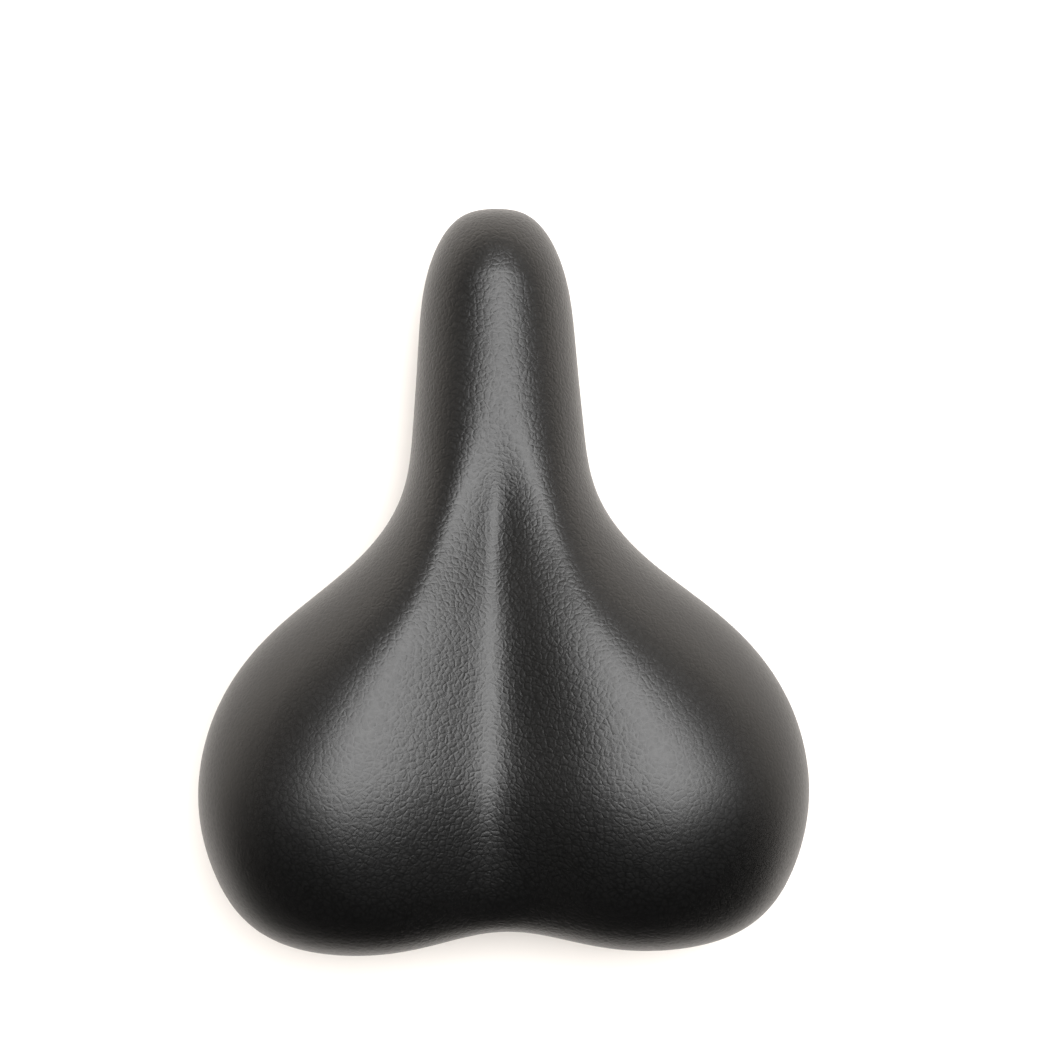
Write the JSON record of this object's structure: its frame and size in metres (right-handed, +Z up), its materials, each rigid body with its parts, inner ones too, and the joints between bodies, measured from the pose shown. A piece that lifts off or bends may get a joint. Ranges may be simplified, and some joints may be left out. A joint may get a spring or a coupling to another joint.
{
  "type": "bicycle saddle",
  "caption": "Wide comfort bicycle saddle with a soft lengthwise channel, sprung on rubber blocks over one bent wire rail.",
  "frame": {"origin": "midway between the axes of the two rails, at the middle of their straight clamp zone", "axes": "+Y towards the nose along the rails, +X to the rider's right, +Z up"},
  "size_m": [0.2092, 0.2567, 0.0876],
  "materials": {
    "cover_leather": "satin",
    "foam": "matte",
    "shell_plastic": "matte",
    "staple_steel": "satin",
    "rail_paint": "satin",
    "zinc_steel": "satin",
    "cup_plastic": "satin",
    "elastomer_rubber": "matte"
  },
  "bodies": {
    "undercarriage": {"rail_wire": "rail_paint", "rear_bridge": "rail_paint", "rail_welds": "rail_paint", "lower_cup_left": "cup_plastic", "lower_cup_right": "cup_plastic", "elastomer_left": "elastomer_rubber", "elastomer_right": "elastomer_rubber"},
    "seat": {"cover": "cover_leather", "foam_pad": "foam", "base_shell": "shell_plastic", "staples": "staple_steel", "nose_keeper": "shell_plastic", "nose_screws": "zinc_steel", "upper_cup_left": "cup_plastic", "upper_cup_right": "cup_plastic", "suspension_bolt_left": "zinc_steel", "suspension_bolt_right": "zinc_steel", "bolt_washer_left": "zinc_steel", "bolt_washer_right": "zinc_steel", "flange_nut_left": "zinc_steel", "flange_nut_right": "zinc_steel"}
  },
  "joints": [
    {"name": "rear_suspension", "type": "hinge", "parent": "undercarriage", "child": "seat", "pos_m": [0, 0.104, 0.025], "axis": [1, 0, 0], "range_deg": [0, 1.57], "stiffness_Nm_per_rad": 6600, "springref_deg": -0.06, "deforming": ["elastomer_left", "elastomer_right"]}
  ]
}
